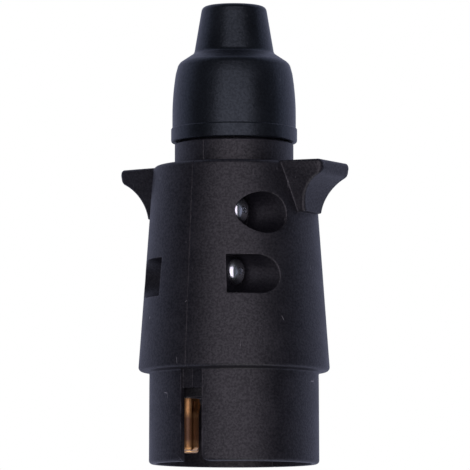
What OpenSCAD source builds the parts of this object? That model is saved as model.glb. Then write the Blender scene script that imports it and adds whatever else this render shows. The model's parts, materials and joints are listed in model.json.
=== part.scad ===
// Seven-pin trailer wiring plug: two half shells around a contact carrier,
// a push-on rubber boot over the cable entry, and the screws that hold it together.
//
// Every module is drawn upright in the plug's own axes: +Z runs from the open nose
// towards the cable, +X is square to the part line and out of shell_a, and -Y is the
// side with the key slot.  in_row() then lays the plug down with its axis along +Y and
// the row's origin in the middle of the barrel, where the socket holds it.

/* [Barrel] */
// Outer diameter of the barrel that enters the socket
barrel_d = 38; // [37.6:0.1:38.2]
// Length of the barrel from the nose to the shoulder
barrel_len = 20.6; // [20:0.1:22]
// Inner diameter of the barrel around the pins
barrel_bore_d = 34.8; // [34.4:0.1:35]
// Width of the key slot through the barrel wall
key_w = 5.2; // [4.6:0.1:5.6]
// Length of the key slot's through cut
key_len = 16.2; // [15:0.1:18]

/* [Body] */
// Outer diameter at the shoulder
shoulder_d = 42.7; // [42:0.1:43.5]
// Outer diameter at the cable end of the body
body_top_d = 36.1; // [35.4:0.1:37]
// Height of the body's flat top above the nose
body_top_z = 66.6; // [66.2:0.1:67]
// Wall of the wiring room
wall = 2.6; // [2.2:0.1:3]
// Turn of the part line about the plug's axis, away from the row's +Z
part_line_turn = 30; // [0:5:90]

/* [Wings] */
// Distance from the axis to the middle of a wing's outer edge
wing_reach = 26; // [25:0.1:27]
// Radius of the hollow under each wing
wing_hollow_r = 8; // [7.5:0.1:8.5]
// Height at which a wing starts to leave the body
wing_foot_z = 56; // [55:0.5:57]

/* [Neck and boot] */
// Outer diameter of the neck collar under the boot
collar_d = 26.6; // [26:0.1:27]
// Outer diameter of the sleeve inside the boot
sleeve_d = 23.8; // [23.4:0.1:24]
// Height of the sleeve's end above the nose
sleeve_top_z = 84; // [82:0.5:85]
// Diameter of the cable passage through the neck
cable_room_d = 17; // [15:0.5:18]
// Outer diameter of the boot's rim band
boot_rim_d = 28.3; // [28:0.1:28.8]
// Outer diameter of the boot's bell above the rim band
boot_bell_d = 27.7; // [27:0.1:27.8]
// Outer diameter of the boot's nozzle at its tip
nozzle_tip_d = 14.6; // [14:0.1:15]
// Outer diameter of the boot's nozzle at its foot
nozzle_foot_d = 17.8; // [17:0.1:18]
// Diameter of the cable hole in the nozzle
cable_hole_d = 10; // [9:0.5:11]
// Overall length from the nose to the nozzle tip
overall_len = 102.8; // [102.4:0.1:104]

/* [Contacts] */
// Diameter of each contact pin
pin_d = 5; // [4.9:0.1:5.1]
// Diameter of the circle that the six outer pins stand on
pin_circle_d = 24; // [23.8:0.1:24.2]
// Distance from the nose to the tips of the pins
pin_tip_z = 2.8; // [1.5:0.1:3.5]
// Front face of the contact carrier
carrier_front_z = 14.2; // [14:0.1:16]
// Back face of the contact carrier
carrier_back_z = 24; // [23.5:0.5:25]

/* [Body screws] */
// Distance from the part line to the seat of each screw head
screw_seat = 7.6; // [7.4:0.1:8.2]
// Height of the two upper screws
upper_screw_z = 55.5; // [55:0.1:55.8]
// Distance of the two upper screws from the axis
upper_screw_y = 11.9; // [11.6:0.1:12.1]
// Distance of the upper pockets' middle from the axis
upper_pocket_y = 11.7; // [11.5:0.1:11.8]
// Distance of the lower pockets' round side's middle from the axis
lower_pocket_y = 14; // [13.8:0.1:14.1]
// Height of the two lower screws
lower_screw_z = 41.8; // [41.4:0.1:42]
// Distance of the two lower screws from the axis
lower_screw_y = 13.6; // [13.4:0.1:13.8]
// Radius of the upper pockets
upper_pocket_r = 4.6; // [4.4:0.05:4.7]
// Radius of the lower pockets' round side
lower_pocket_r = 4.4; // [4.2:0.05:4.6]
// How far each screw stands above the middle of its pocket
pocket_drop = 0.7; // [0:0.1:0.8]

/* [Hidden] */
$fn = 96;
eps = 0.01;
reach = 60;                    // Long enough to cut right through the plug
origin_z = 10.5;               // Height of the row's origin above the nose

barrel_r = barrel_d / 2;
bore_r = barrel_bore_d / 2;
shoulder_r = shoulder_d / 2;
shoulder_z = barrel_len + 0.9;
body_top_r = body_top_d / 2;
collar_r = collar_d / 2;
collar_top_z = 71.8;
sleeve_r = sleeve_d / 2;
cable_room_r = cable_room_d / 2;
key_depth = 0.9;               // Groove that runs on from the key slot to the shoulder

// Wiring room behind the carrier
room_top_z = 35;
channel_top_z = 64;
channel_y = 5.4;               // Half width between the screw pockets
channel_deep_y = 7.9;          // Half width where only the screw shanks pass
channel_deep_x = 6.6;

// Groove that holds the carrier's flange
groove_r = 18.3;
groove_z = [21.1, 23.3];
flange_r = 18.1;
flange_z = [21.2, 23.2];

// Wings
wing_tip_half_w = 6.9;
wing_root_half_w = 8.1;
wing_foot_half_w = 3.4;
wing_foot_x = 20.1;
wing_edge = 2.3;               // Thickness of the wing at its outer edge

// Flat side of the lower pockets, which leans with the body's taper
pocket_flat_y = 18;
pocket_flat_lean = 0.22;

// Boot
boot_bottom_z = 72;
boot_rim_top_z = 75.2;
boot_bore_r = sleeve_r + 0.3;
boot_room_top_z = 86;
nozzle_foot_z = 92.75;
bell_shoulder_z = 88.3;
bell_swell_r = 60;             // Long curve of the bell's side
bell_swell_z = 78;

// Contacts
pin_r = pin_d / 2;
pin_circle_r = pin_circle_d / 2;
split_w = 0.8;
pin_seat_r = pin_r + 0.3;      // Wider length that the carrier grips
pin_seat_z = carrier_front_z + 0.6;
pin_collar_r = 3.3;
terminal_r = 3;
terminal_z = [25, 34];
terminal_screw_z = 30.2;
wire_hole_r = 1.6;

// Fasteners
shank_r = 1.5;
clearance_r = 1.7;
pilot_r = 1.55;
head_r = 2.9;
head_h = 2;
lower_screw_len = 16;
upper_screw_len = 14;
nut_side = 5.5;
nut_h = 1.8;
nut_recess = nut_side + 0.1;

// Cable clamp
clamp_z = 52;
clamp_bar = [2.8, 14.6, 6];    // Thickness, length and width of the bar
clamp_x = 1;
clamp_hole_y = 5.6;
clamp_post_r = 2.1;
clamp_groove_r = 3.3;

// Lays a part from the plug's own axes into the row: nose towards -Y
module in_row() {
    rotate([0, -part_line_turn, 0])
        rotate([-90, 0, 0])
            translate([0, 0, -origin_z])
                children();
}

// Cylinder along X from x0 to x1
module x_cylinder(r, x0, x1, y, z) {
    translate([x0, y, z])
        rotate([0, 90, 0])
            cylinder(r = r, h = x1 - x0);
}

// Points of an arc about [cx, cy], from angle a0 to a1
function arc(cx, cy, r, a0, a1, n) =
    [for (i = [0:n]) let (a = a0 + (a1 - a0) * i / n) [cx + r * cos(a), cy + r * sin(a)]];

// Radius of the tapered body at height z
function body_r(z) =
    shoulder_r + (body_top_r - shoulder_r) * (z - shoulder_z) / (body_top_z - shoulder_z);

// Half of the body's outline, with its nose, shoulder and top edges eased
module body_outline() {
    polygon(concat(
        [[0, 0]],
        arc(barrel_r - 0.7, 0.7, 0.7, -90, 0, 4),
        [[barrel_r, barrel_len - 0.3]],
        arc(shoulder_r - 1, shoulder_z, 1, -80, 0, 4),
        arc(body_top_r - 1, body_top_z - 1, 1, 0, 90, 4),
        [[collar_r, body_top_z]],
        arc(collar_r - 0.4, collar_top_z - 0.4, 0.4, 0, 90, 2),
        [[sleeve_r, collar_top_z]],
        arc(sleeve_r - 0.5, sleeve_top_z - 0.5, 0.5, 0, 90, 2),
        [[0, sleeve_top_z]]
    ));
}

// Side view of the wing on +X: flat top, eased tip and a round hollow below
module wing_side() {
    tip_z = body_top_z - wing_edge;
    hollow_x = wing_foot_x + wing_hollow_r;
    tip_angle = acos((wing_reach - 0.8 - hollow_x) / wing_hollow_r);
    polygon(concat(
        [[10, wing_foot_z], [wing_foot_x - 0.3, wing_foot_z]],
        arc(hollow_x, wing_foot_z + 0.3, wing_hollow_r, 180, tip_angle, 10),
        arc(wing_reach - 1, tip_z + 0.9, 1, -50, 0, 3),
        arc(wing_reach - 0.9, body_top_z - 0.9, 0.9, 0, 90, 4),
        [[10, body_top_z]]
    ));
}

// Plan of the wing on +X: sides that flare to the body and eased corners
module wing_plan() {
    corner = 1.6;
    half = concat(
        [[10, wing_root_half_w + 0.9], [body_top_r - 1, wing_root_half_w]],
        arc(wing_reach - corner - 0.7, wing_tip_half_w - corner, corner, 75, 20, 4),
        [[wing_reach, 2]]
    );
    polygon(concat(half, [for (i = [len(half) - 1:-1:0]) [half[i][0], -half[i][1]]]));
}

// Front view of the wing: it narrows down the body to its foot
module wing_front() {
    polygon([
        [-wing_foot_half_w, wing_foot_z - 1],
        [wing_foot_half_w, wing_foot_z - 1],
        [wing_root_half_w + 0.4, body_top_z - 1.4],
        [wing_root_half_w + 0.4, body_top_z + 1],
        [-wing_root_half_w - 0.4, body_top_z + 1],
        [-wing_root_half_w - 0.4, body_top_z - 1.4]
    ]);
}

// Finger wing on +X
module wing() {
    intersection() {
        translate([0, 10, 0])
            rotate([90, 0, 0])
                linear_extrude(20)
                    wing_side();
        translate([0, 0, wing_foot_z - 2])
            linear_extrude(20)
                wing_plan();
        rotate([90, 0, 90])
            linear_extrude(30)
                wing_front();
    }
}

// Space inside the housing: pin room, carrier seat, wiring room and cable passage
module inner_space() {
    translate([0, 0, -1])
        cylinder(r = bore_r, h = carrier_back_z + 1 + eps);
    translate([0, 0, groove_z[0]])
        cylinder(r = groove_r, h = groove_z[1] - groove_z[0]);
    translate([0, 0, carrier_back_z])
        cylinder(
            r1 = body_r(carrier_back_z) - wall - 1,
            r2 = body_r(room_top_z) - wall,
            h = room_top_z - carrier_back_z
        );
    intersection() {
        translate([0, 0, room_top_z - 1])
            cylinder(r = body_top_r - wall, h = channel_top_z - room_top_z + 1);
        union() {
            translate([-reach / 2, -channel_y, room_top_z - 1])
                cube([reach, 2 * channel_y, reach]);
            translate([-channel_deep_x, -channel_deep_y, room_top_z - 1])
                cube([2 * channel_deep_x, 2 * channel_deep_y, reach]);
        }
    }
    translate([0, 0, channel_top_z - 1])
        cylinder(r = cable_room_r, h = sleeve_top_z - channel_top_z + 2);
}

// Key slot on the -Y side, and the shallow groove that runs on to the shoulder
module key_cut() {
    translate([-key_w / 2, -barrel_r - 1, -1])
        cube([key_w, barrel_r - bore_r + 2, key_len + 1]);
    translate([-key_w / 2, -barrel_r - 1, key_len - eps])
        cube([key_w, key_depth + 1, barrel_len - key_len - 0.2]);
}

// Pocket of a lower screw or nut, from x0 outwards: one side round, the other flat
module lower_pocket(x0) {
    r = lower_pocket_r;
    translate([x0, 0, lower_screw_z - pocket_drop])
        rotate([90, 0, 90])
            linear_extrude(reach)
                polygon(concat(
                    arc(-lower_pocket_y, 0, r, -90, 90, 16),
                    [
                        [-pocket_flat_y + pocket_flat_lean, r],
                        [-pocket_flat_y - pocket_flat_lean, -r]
                    ]
                ));
}

// What the two screws that enter from +X remove from the shell on +X
module near_screw_cuts() {
    pocket_z = upper_screw_z - pocket_drop;
    x_cylinder(upper_pocket_r, screw_seat, reach, -upper_pocket_y, pocket_z);
    x_cylinder(clearance_r, -1, screw_seat + 1, -upper_screw_y, upper_screw_z);
    lower_pocket(screw_seat);
    x_cylinder(clearance_r, -1, screw_seat + 1, -lower_screw_y, lower_screw_z);
}

// What the two screws that enter from -X remove from the shell on +X
module far_screw_cuts() {
    x_cylinder(pilot_r, -1, upper_screw_len - screw_seat + 1, upper_screw_y, upper_screw_z);
    mirror([0, 1, 0])
        lower_pocket(screw_seat);
    x_cylinder(clearance_r, -1, screw_seat + 1, lower_screw_y, lower_screw_z);
    translate([screw_seat - nut_h, lower_screw_y - nut_recess / 2, lower_screw_z - nut_recess / 2])
        cube([nut_h + 1, nut_recess, nut_recess]);
}

// Half shell on +X; the other half is the same moulding turned half way round the
// axis, apart from the key slot, which both halves share
module half_shell() {
    difference() {
        union() {
            rotate_extrude()
                body_outline();
            wing();
        }
        inner_space();
        near_screw_cuts();
        far_screw_cuts();
        translate([-reach, -reach / 2, -1])
            cube([reach, reach, reach * 2]);
    }
}

module shell_a() {
    color([0.16, 0.16, 0.17])
        in_row()
            difference() {
                half_shell();
                key_cut();
            }
}

// The half shell on -X also carries the posts of the cable clamp
module shell_b() {
    color([0.14, 0.14, 0.15])
        in_row()
            difference() {
                union() {
                    rotate([0, 0, 180])
                        half_shell();
                    for (side = [-1, 1])
                        x_cylinder(
                            clamp_post_r,
                            -channel_deep_x - 1,
                            clamp_x,
                            side * clamp_hole_y,
                            clamp_z
                        );
                }
                key_cut();
                for (side = [-1, 1])
                    x_cylinder(pilot_r - 0.25, -5, clamp_x + 1, side * clamp_hole_y, clamp_z);
            }
}

// Soft boot: rim band, bell, round shoulder and tapered nozzle
module rubber_boot() {
    rim_r = boot_rim_d / 2;
    bell_r = boot_bell_d / 2;
    foot_r = nozzle_foot_d / 2;
    tip_r = nozzle_tip_d / 2;
    outer = concat(
        [[boot_bore_r, boot_bottom_z]],
        arc(rim_r - 0.5, boot_bottom_z + 0.5, 0.5, -90, 0, 3),
        arc(rim_r - 0.3, boot_rim_top_z - 0.3, 0.3, 0, 90, 3),
        [[bell_r, boot_rim_top_z]],
        arc(bell_r - bell_swell_r, bell_swell_z, bell_swell_r, 0, 9, 4),
        arc(bell_r - 3.45, bell_shoulder_z, 2.4, 9, 60, 5),
        arc(foot_r + 1.2, nozzle_foot_z, 1.3, 240, 188, 4),
        arc(tip_r - 1.2, overall_len - 1.2, 1.2, 8, 90, 4)
    );
    inner = [
        [cable_hole_d / 2, overall_len],
        [cable_hole_d / 2, boot_room_top_z + 2.5],
        [boot_bore_r, boot_room_top_z]
    ];
    color([0.13, 0.14, 0.16])
        in_row()
            rotate_extrude()
                polygon(concat(outer, inner));
}

// Puts children() at pin i: 1 to 6 stand on the pin circle, 7 stands on the axis
module at_pin(i) {
    if (i < 7)
        rotate([0, 0, -120 + 60 * i])
            translate([pin_circle_r, 0, 0])
                children();
    else
        children();
}

// Moulded disc that holds the seven contacts
module contact_carrier() {
    color([0.1, 0.1, 0.11])
        in_row()
            difference() {
                union() {
                    translate([0, 0, carrier_front_z])
                        cylinder(r = bore_r - 0.2, h = carrier_back_z - carrier_front_z);
                    translate([0, 0, flange_z[0]])
                        cylinder(r = flange_r, h = flange_z[1] - flange_z[0]);
                }
                for (i = [1:7])
                    at_pin(i)
                        translate([0, 0, carrier_front_z - 1])
                            cylinder(r = pin_seat_r + 0.05, h = carrier_back_z - carrier_front_z + 2);
                // Shallow moulded ring that marks out each contact's seat
                for (i = [1:7])
                    at_pin(i)
                        translate([0, 0, carrier_front_z - 1])
                            cylinder(r = pin_r + 0.9, h = pin_seat_z - carrier_front_z + 1);
            }
}

// Split contact pin, with its collar behind the carrier and its wire terminal
module contact_pin(i) {
    tip_h = 0.7;
    color([0.78, 0.58, 0.3])
        in_row()
            at_pin(i)
                difference() {
                    rotate_extrude()
                        polygon(concat(
                            [[0, pin_tip_z]],
                            arc(pin_r - tip_h, pin_tip_z + tip_h, tip_h, -90, 0, 4),
                            [
                                [pin_r, pin_seat_z],
                                [pin_seat_r, pin_seat_z],
                                [pin_seat_r, carrier_back_z],
                                [pin_collar_r, carrier_back_z],
                                [pin_collar_r, terminal_z[0]],
                                [terminal_r, terminal_z[0]],
                                [terminal_r, terminal_z[1]],
                                [0, terminal_z[1]]
                            ]
                        ));
                    // Spring split across the pin
                    translate([-split_w / 2, -pin_r - 1, pin_tip_z - 1])
                        cube([split_w, 2 * pin_r + 2, carrier_front_z - pin_tip_z - 0.5]);
                    // Wire hole and the threaded hole of its screw
                    translate([0, 0, terminal_z[0] + 1])
                        cylinder(r = wire_hole_r, h = terminal_z[1] - terminal_z[0]);
                    x_cylinder(1.3, 0, terminal_r + 1, 0, terminal_screw_z);
                }
}

// Slotted terminal screw on the outer side of pin i
module terminal_screw(i) {
    tip_x = 0.4;
    head_x = terminal_r + 0.1;
    cheese_r = 2;
    cheese_h = 1.3;
    color([0.8, 0.8, 0.82])
        in_row()
            at_pin(i)
                difference() {
                    union() {
                        x_cylinder(1.25, tip_x, head_x, 0, terminal_screw_z);
                        x_cylinder(cheese_r, head_x, head_x + cheese_h, 0, terminal_screw_z);
                    }
                    translate([head_x + cheese_h - 0.7, -0.3, terminal_screw_z - 3])
                        cube([1, 0.6, 6]);
                }
}

// Bar that holds the cable down on the posts of shell_b
module cable_clamp() {
    color([0.12, 0.12, 0.13])
        in_row()
            difference() {
                translate([clamp_x, -clamp_bar[1] / 2, clamp_z - clamp_bar[2] / 2])
                    cube(clamp_bar);
                translate([clamp_x - 1.2, 0, clamp_z - 5])
                    cylinder(r = clamp_groove_r, h = 10);
                for (side = [-1, 1])
                    x_cylinder(clearance_r - 0.2, 0, 8, side * clamp_hole_y, clamp_z);
            }
}

// The clamp bar's two screws
module clamp_screws() {
    head_x = clamp_x + clamp_bar[0];
    color([0.8, 0.8, 0.82])
        in_row()
            for (side = [-1, 1])
                difference() {
                    union() {
                        x_cylinder(1.25, -4.5, head_x, side * clamp_hole_y, clamp_z);
                        x_cylinder(2.1, head_x, head_x + 1.5, side * clamp_hole_y, clamp_z);
                    }
                    translate([head_x + 0.8, side * clamp_hole_y - 0.3, clamp_z - 3])
                        cube([1, 0.6, 6]);
                }
}

// Pan head screw along X with its seat at x = 0 and its head on +X
module pan_screw(length) {
    rotate([0, 90, 0])
        difference() {
            rotate_extrude()
                polygon(concat(
                    [[0, -length], [shank_r - 0.5, -length], [shank_r, -length + 0.6]],
                    [[shank_r, 0], [head_r - 0.15, 0], [head_r, 0.3]],
                    arc(head_r - 1.3, head_h - 1.3, 1.3, 0, 80, 4),
                    [[0, head_h]]
                ));
            for (turn = [45, 135])
                rotate([0, 0, turn])
                    translate([-1.6, -0.35, head_h - 1.3])
                        cube([3.2, 0.7, 2]);
        }
}

// Puts a screw that enters from +X, or from -X when side is -1
module at_screw(side, y, z) {
    color([0.85, 0.86, 0.88])
        in_row()
            rotate([0, 0, side > 0 ? 0 : 180])
                translate([screw_seat, -y, z])
                    children();
}

module upper_screw(side) {
    at_screw(side, upper_screw_y, upper_screw_z)
        pan_screw(upper_screw_len);
}

module lower_screw(side) {
    at_screw(side, lower_screw_y, lower_screw_z)
        pan_screw(lower_screw_len);
}

// Square nut of the lower screw that enters from side
module square_nut(side) {
    at_screw(side, lower_screw_y, lower_screw_z)
        translate([-2 * screw_seat, 0, 0])
            difference() {
                translate([0, -nut_side / 2, -nut_side / 2])
                    cube([nut_h, nut_side, nut_side]);
                x_cylinder(pilot_r, -1, nut_h + 1, 0, 0);
            }
}

shell_a();
shell_b();
rubber_boot();
contact_carrier();
cable_clamp();
clamp_screws();
contact_pin(1);  // pin_1
contact_pin(2);  // pin_2
contact_pin(3);  // pin_3
contact_pin(4);  // pin_4
contact_pin(5);  // pin_5
contact_pin(6);  // pin_6
contact_pin(7);  // pin_7
terminal_screw(1);  // terminal_screw_1
terminal_screw(2);  // terminal_screw_2
terminal_screw(3);  // terminal_screw_3
terminal_screw(4);  // terminal_screw_4
terminal_screw(5);  // terminal_screw_5
terminal_screw(6);  // terminal_screw_6
terminal_screw(7);  // terminal_screw_7
upper_screw(1);  // upper_screw_a
upper_screw(-1);  // upper_screw_b
lower_screw(1);  // lower_screw_a
lower_screw(-1);  // lower_screw_b
square_nut(1);  // nut_a
square_nut(-1);  // nut_b
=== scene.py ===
"""Looks of a seven-pin trailer wiring plug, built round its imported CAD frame.

Pieces are modelled upright in millimetres, in the plug's own axes: +Z runs from the open nose
to the cable end, +X is square to the part line on shell_a's side, and -Y is the key slot's side.
lay_down() then turns each finished piece into the row's axes and metres.
"""
import json
import math

import bpy
from mathutils import Matrix, Vector


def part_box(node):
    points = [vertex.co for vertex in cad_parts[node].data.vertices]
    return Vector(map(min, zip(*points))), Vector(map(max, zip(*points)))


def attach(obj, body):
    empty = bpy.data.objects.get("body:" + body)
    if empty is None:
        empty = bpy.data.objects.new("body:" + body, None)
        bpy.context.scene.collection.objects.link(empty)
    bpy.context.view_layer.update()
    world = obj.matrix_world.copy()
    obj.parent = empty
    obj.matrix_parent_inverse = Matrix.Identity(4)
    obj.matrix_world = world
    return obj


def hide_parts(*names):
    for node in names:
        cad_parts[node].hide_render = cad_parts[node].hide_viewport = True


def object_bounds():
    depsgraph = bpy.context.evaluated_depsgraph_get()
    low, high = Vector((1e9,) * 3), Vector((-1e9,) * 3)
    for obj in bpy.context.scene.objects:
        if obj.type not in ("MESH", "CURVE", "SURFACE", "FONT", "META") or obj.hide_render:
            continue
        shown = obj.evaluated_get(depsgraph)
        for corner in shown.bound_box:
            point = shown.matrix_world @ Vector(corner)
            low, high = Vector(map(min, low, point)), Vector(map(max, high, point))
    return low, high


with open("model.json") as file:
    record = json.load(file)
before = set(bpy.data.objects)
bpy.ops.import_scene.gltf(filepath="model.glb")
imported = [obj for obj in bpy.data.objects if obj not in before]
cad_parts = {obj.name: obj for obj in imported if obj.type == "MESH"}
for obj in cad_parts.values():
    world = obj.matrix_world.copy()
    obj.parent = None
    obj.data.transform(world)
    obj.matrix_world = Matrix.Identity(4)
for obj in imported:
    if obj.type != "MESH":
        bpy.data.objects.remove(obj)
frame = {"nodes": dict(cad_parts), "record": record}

CAD_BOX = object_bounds()

# --------------------------------------------------------------------------- sizes from the frame
MM = 0.001
RECORD = frame["record"]
MOUNTS = {mount["name"]: mount for mount in RECORD["mounts"]}
JOINTS = {joint["name"]: joint for joint in RECORD["behaviour"]["joints"]}
SCREW_AXIS = Vector(JOINTS["upper_screw_a_travel"]["axis"])
PART_LINE_TURN = math.atan2(SCREW_AXIS.z, SCREW_AXIS.x)
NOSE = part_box("shell_a")[0].y
TO_ROW = (
    Matrix.Translation((0, NOSE, 0))
    @ Matrix.Rotation(-PART_LINE_TURN, 4, "Y")
    @ Matrix.Rotation(math.radians(-90), 4, "X")
)


def heights(node):
    """Lowest and highest place of a CAD node above the nose, in millimetres."""
    low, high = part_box(node)
    return (low.y - NOSE) / MM, (high.y - NOSE) / MM


BARREL_R = MOUNTS["socket_barrel"]["dims"]["r_mm"]
PIN_R = MOUNTS["contact_1"]["dims"]["r_mm"]
PIN_CIRCLE_R = math.hypot(MOUNTS["contact_1"]["pos_m"][0], MOUNTS["contact_1"]["pos_m"][2]) / MM
CABLE_HOLE_R = MOUNTS["cable_inlet"]["dims"]["r_mm"]
SLEEVE_TOP = heights("shell_a")[1]
BOOT_FOOT, BOOT_TIP = heights("rubber_boot")
BOOT_RIM_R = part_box("rubber_boot")[1].x / MM
PIN_TIP, TERMINAL_END = heights("pin_7")
CARRIER_FRONT, CARRIER_BACK = heights("contact_carrier")

# Barrel and body
BARREL_LEN = 20.6
BORE_R = 17.4
SHOULDER_R = 21.35
SHOULDER_Z = BARREL_LEN + 0.9
TOP_R = 18.05
TOP_Z = 66.6
COLLAR_R = 13.3
COLLAR_TOP = 71.8
SLEEVE_R = 11.9
CABLE_ROOM_R = 8.5
WALL = 2.6
KEY_W = 5.2
KEY_LEN = 16.2
KEY_GROOVE = 0.9
KEY_CORNER = 1.5

# Wiring room behind the carrier
ROOM_TOP = 35.0
CHANNEL_TOP = 64.0
CHANNEL_Y = 5.4
CHANNEL_DEEP_Y = 7.9
CHANNEL_DEEP_X = 6.6
GROOVE_R = 18.3
GROOVE_Z = (21.1, 23.3)
FLANGE_R = 18.1

# Wings
WING_REACH = 26.0
WING_HOLLOW_R = 8.0
WING_FOOT_Z = 56.0
WING_FOOT_X = 20.4
WING_TIP_Y = 6.75
WING_ROOT_Y = 8.1
WING_FOOT_Y = 4.1

# Body screws
SCREW_SEAT = 7.6
UPPER_SCREW = (11.9, 55.5)
UPPER_POCKET = (11.7, 54.8)
LOWER_SCREW = (13.6, 41.8)
LOWER_POCKET = (14.0, 41.1)
POCKET_FLAT_Y = 18.0
POCKET_FLAT_LEAN = 0.22
UPPER_POCKET_R = 4.55
LOWER_POCKET_R = 4.25
SHANK_R = 1.5
HEAD_R = 2.9
HEAD_H = 2.0
UPPER_SCREW_LEN = 14.0
LOWER_SCREW_LEN = 16.0
THREAD_PITCH = 0.5
NUT_SIDE = 5.6
NUT_H = 1.8

# Contacts
PIN_SPLIT = 0.5
PIN_FLARE = 0.4
FLANGE_Z = (21.2, 23.2)

# Cable clamp posts in shell_b
CLAMP_Z = 52.0
CLAMP_X = 1.0
CLAMP_HOLE_Y = 5.6
CLAMP_POST_R = 2.1


# --------------------------------------------------------------------------- modelling steps
def select_only(piece):
    """Leaves one object selected and current."""
    bpy.ops.object.select_all(action="DESELECT")
    piece.select_set(True)
    bpy.context.view_layer.objects.active = piece


def arc(cx, cy, r, a0, a1, steps):
    """Points of an arc about (cx, cy), from angle a0 to a1 in degrees."""
    turns = [math.radians(a0 + (a1 - a0) * i / steps) for i in range(steps + 1)]
    return [(cx + r * math.cos(a), cy + r * math.sin(a)) for a in turns]


def traced(name, corners, closed=True):
    """Extrudes one vertex through an outline of 3-D corners and stays in edit mode."""
    bpy.ops.object.select_all(action="DESELECT")
    bpy.ops.mesh.primitive_plane_add(size=1)
    piece = bpy.context.object
    piece.name = name
    bpy.ops.object.mode_set(mode="EDIT")
    bpy.ops.mesh.select_mode(type="VERT")
    bpy.ops.mesh.select_all(action="SELECT")
    bpy.ops.mesh.merge(type="CENTER")
    corners = [Vector(corner) for corner in corners]
    bpy.ops.transform.translate(value=corners[0])
    onward = corners[1:] + corners[:1] if closed else corners[1:]
    for here, there in zip(corners, onward):
        bpy.ops.mesh.extrude_region_move(TRANSFORM_OT_translate={"value": there - here})
    bpy.ops.mesh.select_all(action="SELECT")
    bpy.ops.mesh.remove_doubles(threshold=0.001)
    return piece


def finish_solid():
    """Closes seams, points the faces outwards and leaves edit mode."""
    bpy.ops.mesh.select_all(action="SELECT")
    bpy.ops.mesh.remove_doubles(threshold=0.001)
    bpy.ops.mesh.normals_make_consistent(inside=False)
    bpy.ops.object.mode_set(mode="OBJECT")


def lathe(name, outline, steps):
    """Spins an outline of (radius, height) points round the upright axis, closed if it is clear of it."""
    clear = min(r for r, z in outline) > 0
    piece = traced(name, [(r, 0, z) for r, z in outline], closed=clear)
    bpy.ops.mesh.spin(steps=steps, angle=math.tau, center=(0, 0, 0), axis=(0, 0, 1))
    finish_solid()
    return piece


def prism(name, corners, push):
    """Fills a closed outline of 3-D corners and extrudes it by the vector push."""
    piece = traced(name, corners)
    bpy.ops.mesh.edge_face_add()
    bpy.ops.mesh.extrude_region_move(TRANSFORM_OT_translate={"value": Vector(push)})
    finish_solid()
    return piece


def loft(name, rings):
    """Joins closed rings of 3-D corners, in order, into one skin with both ends filled."""
    loops = []
    for ring in rings:
        loops.append(traced(name, ring))
        bpy.ops.object.mode_set(mode="OBJECT")
    select_only(loops[0])
    for loop in loops:
        loop.select_set(True)
    bpy.ops.object.join()
    piece = bpy.context.object
    bpy.ops.object.mode_set(mode="EDIT")
    bpy.ops.mesh.select_mode(type="EDGE")
    bpy.ops.mesh.select_all(action="SELECT")
    bpy.ops.mesh.bridge_edge_loops()
    bpy.ops.mesh.select_all(action="SELECT")
    bpy.ops.mesh.fill_holes(sides=0)
    finish_solid()
    return piece


def box(name, low, high):
    """A block between two corners."""
    x0, y0, z0 = low
    x1, y1, z1 = high
    return prism(name, [(x0, y0, z0), (x1, y0, z0), (x1, y1, z0), (x0, y1, z0)], (0, 0, z1 - z0))


def rod_x(name, r, x0, x1, y, z, steps=48):
    """A round rod along X."""
    ring = [(x0, y + a, z + b) for a, b in arc(0, 0, r, 0, 360 - 360 / steps, steps - 1)]
    return prism(name, ring, (x1 - x0, 0, 0))


def combine(piece, tool, operation):
    """Applies a boolean of piece and tool, and removes the tool."""
    select_only(piece)
    modifier = piece.modifiers.new("combine", "BOOLEAN")
    modifier.object = tool
    modifier.operation = operation
    modifier.solver = "EXACT"
    bpy.ops.object.modifier_apply(modifier=modifier.name)
    bpy.data.objects.remove(tool)


def cut(piece, *tools):
    """Cuts each tool away from the piece."""
    for tool in tools:
        combine(piece, tool, "DIFFERENCE")


def ease_edges(piece, width, segments=2, angle=32):
    """Rounds every edge that turns by more than the angle."""
    select_only(piece)
    bpy.ops.object.mode_set(mode="EDIT")
    bpy.ops.mesh.select_all(action="SELECT")
    bpy.ops.mesh.remove_doubles(threshold=0.004)
    bpy.ops.mesh.dissolve_degenerate(threshold=0.004)
    bpy.ops.object.mode_set(mode="OBJECT")
    modifier = piece.modifiers.new("ease", "BEVEL")
    modifier.width = width
    modifier.segments = segments
    modifier.limit_method = "ANGLE"
    modifier.angle_limit = math.radians(angle)
    modifier.use_clamp_overlap = False
    modifier.miter_outer = "MITER_ARC"
    bpy.ops.object.modifier_apply(modifier=modifier.name)


def turned_copy(piece, name, degrees):
    """A copy with its own mesh, turned about the upright axis."""
    twin = piece.copy()
    twin.data = piece.data.copy()
    twin.name = name
    bpy.context.collection.objects.link(twin)
    select_only(twin)
    twin.rotation_euler = (0, 0, math.radians(degrees))
    bpy.ops.object.transform_apply(location=False, rotation=True, scale=False)
    return twin


def lay_down(piece, smooth=40):
    """Smooths a finished piece and turns it into the row's axes and metres."""
    select_only(piece)
    bpy.ops.object.shade_smooth_by_angle(angle=math.radians(smooth))
    modifier = piece.modifiers.new("even_shading", "WEIGHTED_NORMAL")
    modifier.keep_sharp = True
    bpy.ops.object.modifier_apply(modifier=modifier.name)
    piece.matrix_world = TO_ROW @ Matrix.Scale(MM, 4)
    bpy.ops.object.transform_apply(location=True, rotation=True, scale=True)


def settle(piece, body, node, material):
    """Gives a finished piece its material and its body, and hides the CAD node that it stands for."""
    piece.data.materials.clear()
    piece.data.materials.append(material)
    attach(piece, body)
    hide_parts(node)


# --------------------------------------------------------------------------- housing
def body_r(z):
    """Radius of the tapered body at a height."""
    return SHOULDER_R + (TOP_R - SHOULDER_R) * (z - SHOULDER_Z) / (TOP_Z - SHOULDER_Z)


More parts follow.
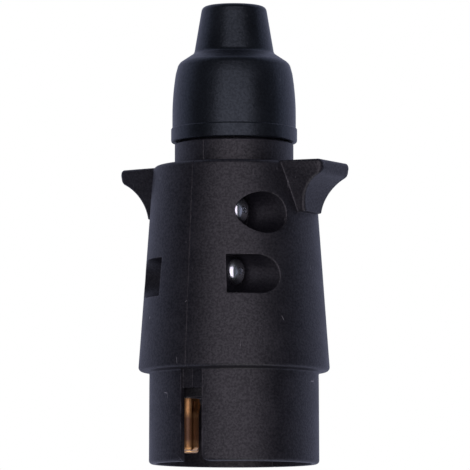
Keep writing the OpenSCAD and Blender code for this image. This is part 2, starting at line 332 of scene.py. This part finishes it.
def turned_body():
    """Barrel, shoulder, tapered body, collar and sleeve as one turned solid."""
    outline = [(0, 0)]
    outline += arc(BARREL_R - 0.8, 0.8, 0.8, -90, 0, 6)
    outline += [(BARREL_R - 0.004 * z, z) for z in range(3, 19, 3)]
    outline += [(BARREL_R - 0.1, BARREL_LEN - 0.8)]
    outline += arc(BARREL_R + 0.4, BARREL_LEN - 0.7, 0.5, 180, 90, 4)
    outline += arc(SHOULDER_R - 1.0, SHOULDER_Z + 0.1, 1.0, -75, 0, 7)
    outline += [(body_r(z), z) for z in range(24, 64, 2)]
    outline += arc(TOP_R - 1.0, TOP_Z - 1.0, 1.0, 4, 90, 6)
    outline += [(COLLAR_R + 0.3, TOP_Z), (COLLAR_R, TOP_Z + 0.3)]
    outline += arc(COLLAR_R - 0.4, COLLAR_TOP - 0.4, 0.4, 0, 90, 3)
    outline += [(SLEEVE_R, COLLAR_TOP)]
    outline += arc(SLEEVE_R - 0.5, SLEEVE_TOP - 0.5, 0.5, 0, 90, 3)
    outline += [(0, SLEEVE_TOP)]
    return lathe("turned_body", outline, 180)


def wing_half_width(x, z):
    """Half width of the wing: it widens up from its foot and narrows out to its edge."""
    front = WING_FOOT_Y + (WING_ROOT_Y - WING_FOOT_Y) * (z - WING_FOOT_Z) / (TOP_Z - 0.3 - WING_FOOT_Z)
    plan = WING_ROOT_Y - (WING_ROOT_Y - WING_TIP_Y) * max(x - TOP_R, 0) / (WING_REACH - TOP_R)
    return (max(front, 1) ** -12 + plan ** -12) ** (-1 / 12)


def wing_ring(inner, outer, inset=0.0):
    """Rounded rectangle across the wing, from its underside to its top; inset draws it in."""
    middle_w = [wing_half_width(*place) - inset for place in (inner, outer)]
    length = math.dist(inner, outer)
    corner = min(0.7, length / 2 - inset - 0.05)
    right = arc(middle_w[0] - corner, inset + corner, corner, -90, 0, 5)
    right += arc(middle_w[1] - corner, length - inset - corner, corner, 0, 90, 5)
    left = [(-y, along) for y, along in reversed(right)]
    ring = []
    for y, along in right + left:
        share = along / length
        ring.append((inner[0] + (outer[0] - inner[0]) * share, y, inner[1] + (outer[1] - inner[1]) * share))
    return ring


def finger_wing():
    """Wing on +X: flat top, round hollow below, rounded edges and corners all round."""
    hollow_x = WING_FOOT_X + WING_HOLLOW_R
    rings = []
    for turn in range(184, 115, -4):
        a = math.radians(turn)
        inner = (hollow_x + WING_HOLLOW_R * math.cos(a), WING_FOOT_Z + WING_HOLLOW_R * math.sin(a))
        to_top = (TOP_Z - WING_FOOT_Z) / max(math.sin(a), 0.01)
        to_axis = (hollow_x - 12) / -math.cos(a)
        span = min(to_top, to_axis)
        rings.append(wing_ring(inner, (hollow_x + span * math.cos(a), WING_FOOT_Z + span * math.sin(a))))
    for turn in range(0, 91, 15):
        a = math.radians(turn)
        x = WING_REACH - 1.1 + 1.1 * math.sin(a)
        under = WING_FOOT_Z + math.sqrt(WING_HOLLOW_R ** 2 - (hollow_x - x) ** 2)
        rings.append(wing_ring((x, under), (x, TOP_Z), 1.1 * (1 - math.cos(a))))
    return loft("wing", rings)


def inner_room():
    """Turned tools and blocks that hollow out the housing."""
    room_back = CARRIER_BACK + 0.1
    pin_room = lathe("pin_room", [(0, -1), (BORE_R, -1), (BORE_R, room_back), (0, room_back)], 120)
    groove = [(0, GROOVE_Z[0]), (GROOVE_R, GROOVE_Z[0]), (GROOVE_R, GROOVE_Z[1]), (0, GROOVE_Z[1])]
    low_r = body_r(CARRIER_BACK) - WALL - 1
    high_r = body_r(ROOM_TOP) - WALL
    room = [(0, CARRIER_BACK - 0.2), (low_r, CARRIER_BACK - 0.2), (high_r, ROOM_TOP), (0, ROOM_TOP)]
    passage_foot = CHANNEL_TOP - 1
    passage_end = SLEEVE_TOP + 2
    passage = [(0, passage_foot), (CABLE_ROOM_R, passage_foot)]
    passage += [(CABLE_ROOM_R, passage_end), (0, passage_end)]
    channel_end = TOP_R - WALL - 2.6
    return [
        pin_room,
        lathe("groove", groove, 120),
        lathe("room", room, 120),
        lathe("passage", passage, 72),
        box("channel", (-channel_end, -CHANNEL_Y, ROOM_TOP - 1), (channel_end, CHANNEL_Y, CHANNEL_TOP)),
        box(
            "deep_channel",
            (-CHANNEL_DEEP_X, -CHANNEL_DEEP_Y, ROOM_TOP - 1),
            (CHANNEL_DEEP_X, CHANNEL_DEEP_Y, CHANNEL_TOP - 0.01),
        ),
    ]


def lower_pocket(side):
    """D-shaped pocket of a lower screw (side -1) or nut (side 1), outwards from its floor."""
    y, z = LOWER_POCKET
    r = LOWER_POCKET_R
    bow = []
    for degrees in range(-90, 91, 6):
        a = math.radians(degrees)
        bow.append((side * (y - r * math.cos(a)), z + r * math.sin(a)))
    flat_low = (side * (POCKET_FLAT_Y + POCKET_FLAT_LEAN), z - r)
    flat_high = (side * (POCKET_FLAT_Y - POCKET_FLAT_LEAN), z + r)
    corners = [flat_low] + bow + [flat_high]
    return prism("pocket", [(SCREW_SEAT, py, pz) for py, pz in corners], (20, 0, 0))


def half_housing():
    """Half of the housing on +X, before its key slot is cut."""
    half = turned_body()
    combine(half, finger_wing(), "UNION")
    upper_y, upper_z = UPPER_SCREW
    lower_y, lower_z = LOWER_SCREW
    nut = NUT_SIDE / 2
    cut(half, *inner_room())
    cut(
        half,
        rod_x("upper_pocket", UPPER_POCKET_R, SCREW_SEAT, 30, -UPPER_POCKET[0], UPPER_POCKET[1], 64),
        rod_x("upper_hole", 1.7, -1, SCREW_SEAT + 1, -upper_y, upper_z, 32),
        lower_pocket(-1),
        rod_x("lower_hole", 1.7, -1, SCREW_SEAT + 1, -lower_y, lower_z, 32),
        rod_x("pilot_hole", 1.55, -1, UPPER_SCREW_LEN - SCREW_SEAT + 1, upper_y, upper_z, 32),
        lower_pocket(1),
        rod_x("nut_hole", 1.7, -1, SCREW_SEAT + 1, lower_y, lower_z, 32),
        box(
            "nut_seat",
            (SCREW_SEAT - NUT_H, lower_y - nut, lower_z - nut),
            (SCREW_SEAT + 0.5, lower_y + nut, lower_z + nut),
        ),
    )
    combine(half, box("half_space", (0, -40, -5), (40, 40, 100)), "INTERSECT")
    return half


def key_tool():
    """Key slot with its eased mouth on the +X side, on the -Y side of the barrel."""
    half_w = KEY_W / 2
    mouth = arc(half_w + KEY_CORNER, KEY_CORNER, KEY_CORNER, 270, 180, 8)
    corners = [(-half_w, -1), (half_w + KEY_CORNER, -1)] + mouth + [(half_w, KEY_LEN), (-half_w, KEY_LEN)]
    return prism("key", [(x, -BARREL_R - 2, z) for x, z in corners], (0, BARREL_R - BORE_R + 3, 0))


def key_groove_tool():
    """Shallow groove that runs on from the key slot to the shoulder."""
    return box(
        "key_groove",
        (-KEY_W / 2, -BARREL_R - 2, KEY_LEN - 0.5),
        (KEY_W / 2, -BARREL_R + KEY_GROOVE, BARREL_LEN - 0.15),
    )


def build_housing(material):
    """Both half shells, each with its own side of the key slot."""
    shell_a = half_housing()
    shell_a.name = "half_shell_a"
    shell_b = turned_copy(shell_a, "half_shell_b", 180)
    for side in (-1, 1):
        post = rod_x("post", CLAMP_POST_R, -CHANNEL_DEEP_X - 1, CLAMP_X, side * CLAMP_HOLE_Y, CLAMP_Z, 32)
        combine(shell_b, post, "UNION")
    for side in (-1, 1):
        cut(shell_b, rod_x("post_hole", 1.3, -5, CLAMP_X + 1, side * CLAMP_HOLE_Y, CLAMP_Z, 24))
    for shell, node in ((shell_a, "shell_a"), (shell_b, "shell_b")):
        cut(shell, key_tool(), key_groove_tool())
        ease_edges(shell, 0.22)
        lay_down(shell)
        settle(shell, "housing", node, material)


# --------------------------------------------------------------------------- boot
def build_boot(material):
    """Soft boot: rim band, swelling bell, sloping shoulder and tapered nozzle."""
    rim_r = BOOT_RIM_R - 0.02
    bore_r = SLEEVE_R + 0.3
    bell_r = rim_r - 0.28
    swell_r = 60
    shoulder_z = 88.3
    nozzle_foot = (10.15, 92.9)
    outline = arc(bore_r + 0.3, BOOT_FOOT + 0.3, 0.3, 180, 270, 3)
    outline += arc(rim_r - 0.5, BOOT_FOOT + 0.5, 0.5, -90, 0, 5)
    outline += arc(rim_r - 0.22, BOOT_FOOT + 2.95, 0.22, 0, 80, 4)
    outline += arc(bell_r + 0.12, BOOT_FOOT + 3.3, 0.12, 250, 180, 3)
    outline += arc(bell_r - swell_r, BOOT_FOOT + 6, swell_r, 0, 9.2, 8)
    outline += arc(bell_r - 3.45, shoulder_z, 2.4, 9, 60, 8)
    outline += arc(*nozzle_foot, 1.3, 240, 188, 6)
    outline += arc(6.15, BOOT_TIP - 1.2, 1.2, 8, 90, 6)
    outline += arc(CABLE_HOLE_R + 0.35, BOOT_TIP - 0.35, 0.35, 90, 180, 3)
    outline += [(CABLE_HOLE_R, 88.5), (bore_r, 86.0)]
    boot = lathe("boot_skin", outline, 160)
    lay_down(boot, smooth=50)
    settle(boot, "boot", "rubber_boot", material)


# --------------------------------------------------------------------------- fasteners
def pan_screw(name, length):
    """Cross-recess pan head screw, upright, with its seat at height 0."""
    turns = int((length - 1.5) / THREAD_PITCH)
    outline = [(0, -length), (SHANK_R - 0.6, -length)]
    for turn in range(turns):
        z = -length + 0.5 + turn * THREAD_PITCH
        outline += [(SHANK_R - 0.28, z), (SHANK_R, z + THREAD_PITCH / 2)]
    outline += [(SHANK_R - 0.2, -0.9), (SHANK_R - 0.2, 0), (HEAD_R - 0.12, 0)]
    outline += arc(HEAD_R - 0.3, 0.4, 0.3, -10, 0, 2)
    outline += arc(HEAD_R - 1.3, HEAD_H - 1.5, 1.3, 0, 58, 7)
    outline += arc(0, HEAD_H - 6.1, 6.12, 71, 90, 5)
    screw = lathe(name, outline, 64)
    for turn in (45, 135):
        mouth = [(-1.6, 0.42), (-1.6, -0.42), (1.6, -0.42), (1.6, 0.42)]
        recess = prism("recess", [(x, y, HEAD_H + 0.3) for x, y in mouth], (0, 0, -1.6))
        select_only(recess)
        bpy.ops.object.mode_set(mode="OBJECT")
        for vertex in recess.data.vertices:
            vertex.select = vertex.co.z < HEAD_H - 1
        bpy.ops.object.mode_set(mode="EDIT")
        bpy.ops.mesh.select_mode(type="VERT")
        bpy.ops.transform.resize(value=(0.5, 0.75, 1), center_override=(0, 0, 0))
        bpy.ops.object.mode_set(mode="OBJECT")
        recess.rotation_euler = (0, 0, math.radians(turn))
        bpy.ops.object.transform_apply(location=False, rotation=True, scale=False)
        cut(screw, recess)
    ease_edges(screw, 0.07, segments=2, angle=40)
    return screw


def place_screw(screw, side, place):
    """Turns an upright screw to enter from +X, or from -X when side is -1."""
    y, z = place
    select_only(screw)
    turn = Matrix.Rotation(0 if side > 0 else math.pi, 4, "Z")
    lean_over = Matrix.Rotation(math.pi / 2, 4, "Y")
    screw.matrix_world = turn @ Matrix.Translation((SCREW_SEAT, -y, z)) @ lean_over
    bpy.ops.object.transform_apply(location=True, rotation=True, scale=True)


def build_screws(material):
    """The four body screws."""
    kinds = (("upper", UPPER_SCREW_LEN, UPPER_SCREW), ("lower", LOWER_SCREW_LEN, LOWER_SCREW))
    for kind, length, place in kinds:
        for letter, side in (("a", 1), ("b", -1)):
            node = f"{kind}_screw_{letter}"
            screw = pan_screw(f"pan_screw_{kind}_{letter}", length)
            place_screw(screw, side, place)
            lay_down(screw, smooth=35)
            settle(screw, node, node, material)


# --------------------------------------------------------------------------- contacts
def split_pin(name):
    """Turned contact on the axis: rounded split tip, seat, collar and wire terminal."""
    seat_z = CARRIER_FRONT + 0.6
    outline = [(0, PIN_TIP)]
    outline += arc(PIN_R - 0.7, PIN_TIP + 0.7, 0.7, -90, 0, 6)
    outline += [(PIN_R, seat_z - 3.6), (PIN_R + PIN_FLARE, seat_z - 1.5)]
    outline += [(PIN_R + 0.1, seat_z - 0.2), (PIN_R + 0.1, CARRIER_BACK)]
    outline += [(3.3, CARRIER_BACK), (3.3, CARRIER_BACK + 1), (3.0, CARRIER_BACK + 1), (3.0, TERMINAL_END)]
    outline += [(1.6, TERMINAL_END), (1.6, CARRIER_BACK + 2), (0, CARRIER_BACK + 2)]
    pin = lathe(name, outline, 56)
    half_split = PIN_SPLIT / 2
    split = box("split", (-half_split, -4, PIN_TIP - 1), (half_split, 4, CARRIER_FRONT - 0.5))
    cut(pin, split, rod_x("screw_hole", 1.3, 0, 5, 0, 30.2, 24))
    ease_edges(pin, 0.1, segments=2)
    return pin


def build_pins(material):
    """Six pins on the circle and one on the axis."""
    for number in range(1, 8):
        pin = split_pin(f"split_pin_{number}")
        if number < 7:
            turn = Matrix.Rotation(math.radians(60 * number - 120), 4, "Z")
            select_only(pin)
            pin.matrix_world = turn @ Matrix.Translation((PIN_CIRCLE_R, 0, 0))
            bpy.ops.object.transform_apply(location=True, rotation=True, scale=True)
        lay_down(pin, smooth=35)
        settle(pin, "housing", f"pin_{number}", material)


def build_carrier(material):
    """Moulded disc with a sunk face, a raised ring round each contact and a rim flange."""
    disc_r = BORE_R - 0.2
    sunk_z = CARRIER_FRONT + 0.35
    outline = [(0, sunk_z), (disc_r - 1.2, sunk_z), (disc_r - 1.0, CARRIER_FRONT)]
    outline += [(disc_r - 0.2, CARRIER_FRONT), (disc_r, CARRIER_FRONT + 0.2)]
    outline += [(disc_r, FLANGE_Z[0]), (FLANGE_R, FLANGE_Z[0])]
    outline += [(FLANGE_R, FLANGE_Z[1]), (disc_r, FLANGE_Z[1])]
    outline += [(disc_r, CARRIER_BACK), (0, CARRIER_BACK)]
    carrier = lathe("contact_disc", outline, 120)
    ring_r = PIN_R + 1.3
    ring = [(0, CARRIER_FRONT), (ring_r - 0.15, CARRIER_FRONT), (ring_r, CARRIER_FRONT + 0.15)]
    ring += [(ring_r, CARRIER_FRONT + 2), (0, CARRIER_FRONT + 2)]
    well_r = PIN_R + 0.9
    well_z = CARRIER_FRONT + 0.6
    hole_r = PIN_R + 0.15
    seat = [(0, 10), (well_r, 10), (well_r, well_z), (hole_r, well_z)]
    seat += [(hole_r, CARRIER_BACK + 1), (0, CARRIER_BACK + 1)]
    for outline, operation in ((ring, "UNION"), (seat, "DIFFERENCE")):
        for number in range(1, 8):
            tool = lathe("ring", outline, 56)
            if number < 7:
                turn = Matrix.Rotation(math.radians(60 * number - 120), 4, "Z")
                select_only(tool)
                tool.matrix_world = turn @ Matrix.Translation((PIN_CIRCLE_R, 0, 0))
                bpy.ops.object.transform_apply(location=True, rotation=True, scale=True)
            combine(carrier, tool, operation)
    ease_edges(carrier, 0.08, segments=2)
    lay_down(carrier, smooth=35)
    settle(carrier, "housing", "contact_carrier", material)


# --------------------------------------------------------------------------- materials
def add_node(tree, kind, **values):
    """Adds a node; a value sets the input of that name, or else the node's own property."""
    node = tree.nodes.new(kind)
    for name, value in values.items():
        socket = node.inputs.get(name.replace("_", " "))
        if socket is None:
            setattr(node, name, value)
        else:
            socket.default_value = value
    return node


def noise(tree, vector, scale, detail=2.0, roughness=0.5):
    """Noise texture read at a vector; gives its value socket."""
    node = add_node(tree, "ShaderNodeTexNoise", Scale=scale, Detail=detail, Roughness=roughness)
    tree.links.new(vector, node.inputs["Vector"])
    return node.outputs["Fac"]


def fit(tree, value, from_low, from_high, to_low=0.0, to_high=1.0):
    """Maps a value from one range to another, clamped."""
    node = add_node(tree, "ShaderNodeMapRange", From_Min=from_low, From_Max=from_high)
    node.inputs["To Min"].default_value = to_low
    node.inputs["To Max"].default_value = to_high
    tree.links.new(value, node.inputs["Value"])
    return node.outputs["Result"]


def blend_colour(tree, factor, first, second):
    """Mixes two colours, each a socket or a plain colour."""
    node = add_node(tree, "ShaderNodeMix", data_type="RGBA")
    tree.links.new(factor, node.inputs["Factor"])
    for socket, colour in ((node.inputs[6], first), (node.inputs[7], second)):
        if isinstance(colour, bpy.types.NodeSocket):
            tree.links.new(colour, socket)
        else:
            socket.default_value = (*colour, 1)
    return node.outputs[2]


def maths(tree, operation, first, second):
    """Combines two values, each a socket or a number."""
    node = add_node(tree, "ShaderNodeMath", operation=operation)
    for socket, value in zip(node.inputs, (first, second)):
        if isinstance(value, bpy.types.NodeSocket):
            tree.links.new(value, socket)
        else:
            socket.default_value = value
    return node.outputs[0]


def new_group(name, inputs, outputs):
    """An empty shader group with float inputs (name: default) and float outputs."""
    group = bpy.data.node_groups.new(name, "ShaderNodeTree")
    for label, default in inputs.items():
        socket = group.interface.new_socket(label, in_out="INPUT", socket_type="NodeSocketFloat")
        socket.default_value = default
    for label in outputs:
        group.interface.new_socket(label, in_out="OUTPUT", socket_type="NodeSocketFloat")
    start = group.nodes.new("NodeGroupInput")
    end = group.nodes.new("NodeGroupOutput")
    return group, start.outputs, end.inputs


def grain_group():
    """Fine moulded grain: a height for bump, a tone that follows it, and broad cloudy patches."""
    sizes = {"Size": 0.3, "Cloud Size": 6.0}
    group, given, result = new_group("moulded_grain", sizes, ("Height", "Tone", "Cloud"))
    place = add_node(group, "ShaderNodeTexCoord").outputs["Object"]
    scale = maths(group, "DIVIDE", 1 / MM, given["Size"])
    fine = add_node(group, "ShaderNodeTexNoise", Detail=3.0, Roughness=0.65)
    group.links.new(place, fine.inputs["Vector"])
    group.links.new(scale, fine.inputs["Scale"])
    cloud_scale = maths(group, "DIVIDE", 1 / MM, given["Cloud Size"])
    cloud = add_node(group, "ShaderNodeTexNoise", Detail=4.0, Roughness=0.6)
    group.links.new(place, cloud.inputs["Vector"])
    group.links.new(cloud_scale, cloud.inputs["Scale"])
    group.links.new(fine.outputs["Fac"], result["Height"])
    group.links.new(fit(group, fine.outputs["Fac"], 0.40, 0.60), result["Tone"])
    group.links.new(fit(group, cloud.outputs["Fac"], 0.32, 0.68), result["Cloud"])
    return group


def wear_group():
    """Mask of rubbed edges, broken up by noise so that they wear unevenly."""
    group, given, result = new_group("rubbed_edges", {"Breakup": 0.9}, ("Mask",))
    place = add_node(group, "ShaderNodeTexCoord").outputs["Object"]
    rounded = add_node(group, "ShaderNodeBevel", samples=6, Radius=0.35 * MM)
    plain = add_node(group, "ShaderNodeNewGeometry")
    agree = add_node(group, "ShaderNodeVectorMath", operation="DOT_PRODUCT")
    group.links.new(rounded.outputs["Normal"], agree.inputs[0])
    group.links.new(plain.outputs["Normal"], agree.inputs[1])
    edge = fit(group, agree.outputs["Value"], 0.995, 0.9)
    patch = fit(group, noise(group, place, 420, 4.0, 0.6), 0.42, 0.62)
    broken = maths(group, "MULTIPLY", patch, given["Breakup"])
    group.links.new(maths(group, "MULTIPLY", edge, broken), result["Mask"])
    return group


def fleck_group():
    """Mask of small pale scuffs: short flecks and a few hairline scratches."""
    group, given, result = new_group("small_scuffs", {"Amount": 1.0}, ("Mask",))
    place = add_node(group, "ShaderNodeTexCoord").outputs["Object"]
    stretch = add_node(group, "ShaderNodeMapping", Scale=(1.0, 0.35, 1.0), Rotation=(0.3, 0.2, 0.5))
    group.links.new(place, stretch.inputs["Vector"])
    fleck = fit(group, noise(group, stretch.outputs["Vector"], 900, 2.0, 0.5), 0.74, 0.80)
    area = fit(group, noise(group, place, 110, 2.0, 0.5), 0.5, 0.62)
    cells = add_node(group, "ShaderNodeTexVoronoi", feature="DISTANCE_TO_EDGE", Scale=150.0)
    group.links.new(stretch.outputs["Vector"], cells.inputs["Vector"])
    hairline = fit(group, cells.outputs["Distance"], 0.006, 0.001)
    gate = fit(group, noise(group, place, 320, 2.0, 0.5), 0.66, 0.72)
    scratch = maths(group, "MULTIPLY", hairline, gate)
    both = maths(group, "MAXIMUM", maths(group, "MULTIPLY", fleck, area), scratch)
    group.links.new(maths(group, "MULTIPLY", both, given["Amount"]), result["Mask"])
    return group


def new_material(name, **settings):
    """A material with its Principled BSDF, whose constants are set on its own sockets."""
    material = bpy.data.materials.new(name)
    material.use_nodes = True
    shader = material.node_tree.nodes["Principled BSDF"]
    for label, value in settings.items():
        shader.inputs[label.replace("_", " ")].default_value = value
    return material, material.node_tree, shader


def place_group(tree, group, **values):
    """Places a node group with its own values and gives its outputs."""
    node = tree.nodes.new("ShaderNodeGroup")
    node.node_tree = group
    for label, value in values.items():
        node.inputs[label.replace("_", " ")].default_value = value
    return node.outputs


def bump(tree, shader, height, strength, distance):
    """Feeds a height to the shader's normal."""
    node = add_node(tree, "ShaderNodeBump", Strength=strength, Distance=distance)
    tree.links.new(height, node.inputs["Height"])
    tree.links.new(node.outputs["Normal"], shader.inputs["Normal"])


def mottle(tree, shader, grain, low, high):
    """Lets the shine vary with the grain, and a little with the cloudy patches."""
    fine = maths(tree, "MULTIPLY", grain["Tone"], 0.72)
    broad = maths(tree, "MULTIPLY", grain["Cloud"], 0.28)
    shine = fit(tree, maths(tree, "ADD", fine, broad), 0, 1, low, high)
    tree.links.new(shine, shader.inputs["Specular IOR Level"])


def moulded_plastic(name, groups, dark, light, roughness, grain_size, grain_depth, scuffs):
    """Moulded black plastic with grain, cloudy tone, rubbed edges and small scuffs."""
    material, tree, shader = new_material(name, IOR=1.5)
    grain = place_group(tree, groups["grain"], Size=grain_size, Cloud_Size=7.0)
    wear = place_group(tree, groups["wear"])["Mask"]
    scuff = place_group(tree, groups["scuffs"], Amount=scuffs)["Mask"]
    broad = maths(tree, "MULTIPLY", grain["Cloud"], 0.5)
    tone = maths(tree, "ADD", broad, maths(tree, "MULTIPLY", grain["Tone"], 0.5))
    base = blend_colour(tree, tone, dark, light)
    base = blend_colour(tree, maths(tree, "MULTIPLY", wear, 0.35), base, (0.16, 0.15, 0.16))
    base = blend_colour(tree, maths(tree, "MULTIPLY", scuff, 0.8), base, (0.5, 0.49, 0.5))
    tree.links.new(base, shader.inputs["Base Color"])
    uneven = fit(tree, grain["Cloud"], 0, 1, roughness - 0.05, roughness + 0.05)
    tree.links.new(uneven, shader.inputs["Roughness"])
    mottle(tree, shader, grain, 0.30, 0.62)
    bump(tree, shader, grain["Height"], 1.0, grain_depth * MM)
    return material


def soft_rubber(groups):
    """Smooth satin rubber with a cloudy tone and a few scuffs."""
    material, tree, shader = new_material("boot_rubber", IOR=1.5, Specular_Tint=(0.76, 0.9, 1.0, 1))
    grain = place_group(tree, groups["grain"], Size=0.55, Cloud_Size=9.0)
    scuff = place_group(tree, groups["scuffs"], Amount=0.25)["Mask"]
    base = blend_colour(tree, grain["Cloud"], (0.0045, 0.0052, 0.0068), (0.0075, 0.0086, 0.011))
    base = blend_colour(tree, scuff, base, (0.3, 0.3, 0.32))
    tree.links.new(base, shader.inputs["Base Color"])
    tree.links.new(fit(tree, grain["Cloud"], 0, 1, 0.30, 0.36), shader.inputs["Roughness"])
    mottle(tree, shader, grain, 0.34, 0.58)
    bump(tree, shader, grain["Height"], 1.0, 0.045 * MM)
    return material


def turned_metal(name, dark, light, roughness, ring_gap, ring_depth, tarnish_and_shade=None):
    """Turned or plated metal: patchy tone and fine rings; the optional band, given as (colour, from, to)
    along Y, makes the metal darker and less metallic there: partly tarnish, partly painted shade.
    """
    material, tree, shader = new_material(name, Metallic=1.0)
    place = add_node(tree, "ShaderNodeTexCoord").outputs["Object"]
    apart = add_node(tree, "ShaderNodeSeparateXYZ")
    tree.links.new(place, apart.inputs[0])
    patches = fit(tree, noise(tree, place, 260, 4.0, 0.6), 0.35, 0.65)
    base = blend_colour(tree, patches, dark, light)
    # Darker, less metallic band down the pin's middle: partly tarnish, partly painted shade where the key
    # slot's walls shade the pin; the tip and root stay bare brass.
    if tarnish_and_shade:
        colour, low, high = tarnish_and_shade
        above = fit(tree, apart.outputs["Y"], low, low + 2.0 * MM)
        below = fit(tree, apart.outputs["Y"], high, high - 1.5 * MM)
        amount = maths(tree, "MULTIPLY", maths(tree, "MINIMUM", above, below), 0.92)
        base = blend_colour(tree, amount, base, colour)
        tree.links.new(fit(tree, amount, 0, 1, 1.0, 0.25), shader.inputs["Metallic"])
    tree.links.new(base, shader.inputs["Base Color"])
    tree.links.new(fit(tree, patches, 0, 1, roughness + 0.06, roughness - 0.04), shader.inputs["Roughness"])
    wave = maths(tree, "MULTIPLY", apart.outputs["Y"], math.tau / (ring_gap * MM))
    rings = maths(tree, "SINE", wave, 0.0)
    rough = maths(tree, "ADD", rings, noise(tree, place, 3000, 2.0, 0.5))
    bump(tree, shader, rough, 1.0, ring_depth * MM)
    return material


def build_materials():
    """Every finish of the plug."""
    brass_dark = (0.50, 0.26, 0.10)
    brass_light = (0.85, 0.50, 0.22)
    # Band between the pins' tips and roots: partly tarnish, partly painted shade from the key slot's walls.
    tarnish_and_shade = ((0.15, 0.06, 0.022), NOSE + (PIN_TIP + 0.4) * MM, NOSE + (CARRIER_FRONT - 2.9) * MM)
    groups = {"grain": grain_group(), "wear": wear_group(), "scuffs": fleck_group()}
    return {
        "shell": moulded_plastic(
            "shell_black", groups, (0.0062, 0.0062, 0.0085), (0.0125, 0.0120, 0.0155), 0.44, 0.5, 0.06, 0.6
        ),
        "boot": soft_rubber(groups),
        "carrier": moulded_plastic(
            "carrier_black", groups, (0.005, 0.005, 0.0055), (0.008, 0.008, 0.0085), 0.42, 0.4, 0.01, 0.3
        ),
        "brass": turned_metal("pin_brass", brass_dark, brass_light, 0.34, 0.12, 0.002, tarnish_and_shade),
        "zinc": turned_metal("zinc_plate", (0.78, 0.82, 0.86), (0.95, 0.97, 1.0), 0.24, 0.4, 0.001),
    }


def dress_cad_nodes(finishes):
    """Gives each CAD node that stays its finish."""
    slots = {row["node"]: row["material_slot"] for row in RECORD["subparts"]}
    for name, node in frame["nodes"].items():
        for index in range(len(node.material_slots)):
            node.material_slots[index].material = finishes[slots[name]]


# --------------------------------------------------------------------------- stage
def build_camera():
    """Long lens over the plug, a little towards its nose."""
    middle = Vector((0.0002, NOSE + 0.0513, 0))
    distance = 1.06
    tilt = math.radians(5.2)
    bpy.ops.object.camera_add()
    camera = bpy.context.object
    camera.name = "main_camera"
    back = Vector((0, -math.sin(tilt), math.cos(tilt)))
    camera.location = middle + back * distance
    camera.rotation_euler = back.to_track_quat("Z", "Y").to_euler()
    camera.data.sensor_width = 36
    camera.data.lens = 36 * distance / 0.1052
    camera.data.clip_start = 0.01
    bpy.context.scene.camera = camera


def area_light(name, place, aim, size, power, colour):
    """Soft rectangular light aimed at a point."""
    bpy.ops.object.light_add(type="AREA")
    light = bpy.context.object
    light.name = name
    light.location = place
    light.rotation_euler = (Vector(place) - Vector(aim)).to_track_quat("Z", "Y").to_euler()
    light.data.shape = "RECTANGLE"
    light.data.size, light.data.size_y = size
    light.data.energy = power
    light.data.color = colour


def white_to_camera(tree, shader, surface, white_kind):
    """Shows plain white to the camera, while the plug is lit by the given shader."""
    white = add_node(tree, white_kind, Color=(1, 1, 1, 1), Strength=1.0)
    path = add_node(tree, "ShaderNodeLightPath")
    choose = add_node(tree, "ShaderNodeMixShader")
    tree.links.new(path.outputs["Is Camera Ray"], choose.inputs[0])
    tree.links.new(shader, choose.inputs[1])
    tree.links.new(white.outputs[0], choose.inputs[2])
    tree.links.new(choose.outputs[0], surface)


def build_stage():
    """Pale floor, pale surroundings and soft studio lights."""
    scene = bpy.context.scene
    scene.view_settings.view_transform = "Standard"
    floor_z = CAD_BOX[0].z - 0.0002
    bpy.ops.object.select_all(action="DESELECT")
    bpy.ops.mesh.primitive_plane_add(size=6, location=(0, 0, floor_z))
    floor = bpy.context.object
    floor.name = "studio_floor"
    material, tree, shader = new_material("studio_white", Roughness=0.9, Base_Color=(0.5, 0.56, 0.7, 1))
    shader.inputs["Emission Color"].default_value = (0.66, 0.72, 1.0, 1)
    shader.inputs["Emission Strength"].default_value = 0.22
    surface = tree.nodes["Material Output"].inputs["Surface"]
    white_to_camera(tree, shader.outputs[0], surface, "ShaderNodeEmission")
    floor.data.materials.append(material)

    middle = (0, NOSE + 0.05, 0)
    area_light("top_softbox", (-0.01, -0.06, 0.9), middle, (1.25, 1.45), 7.0, (1.0, 0.9, 1.05))
    area_light("nose_fill", (0.15, -1.0, 0.3), middle, (0.6, 0.6), 2.2, (1.0, 0.97, 1.0))

    world = bpy.data.worlds.new("studio")
    world.use_nodes = True
    scene.world = world
    tree = world.node_tree
    backdrop = tree.nodes["Background"]
    backdrop.inputs["Color"].default_value = (0.8, 0.88, 1.0, 1)
    backdrop.inputs["Strength"].default_value = 0.07
    surface = tree.nodes["World Output"].inputs["Surface"]
    white_to_camera(tree, backdrop.outputs[0], surface, "ShaderNodeBackground")


# --------------------------------------------------------------------------- build
build_camera()
FINISHES = build_materials()
dress_cad_nodes(FINISHES)
build_housing(FINISHES["shell"])
build_boot(FINISHES["boot"])
build_screws(FINISHES["zinc"])
build_pins(FINISHES["brass"])
build_carrier(FINISHES["carrier"])
build_stage()
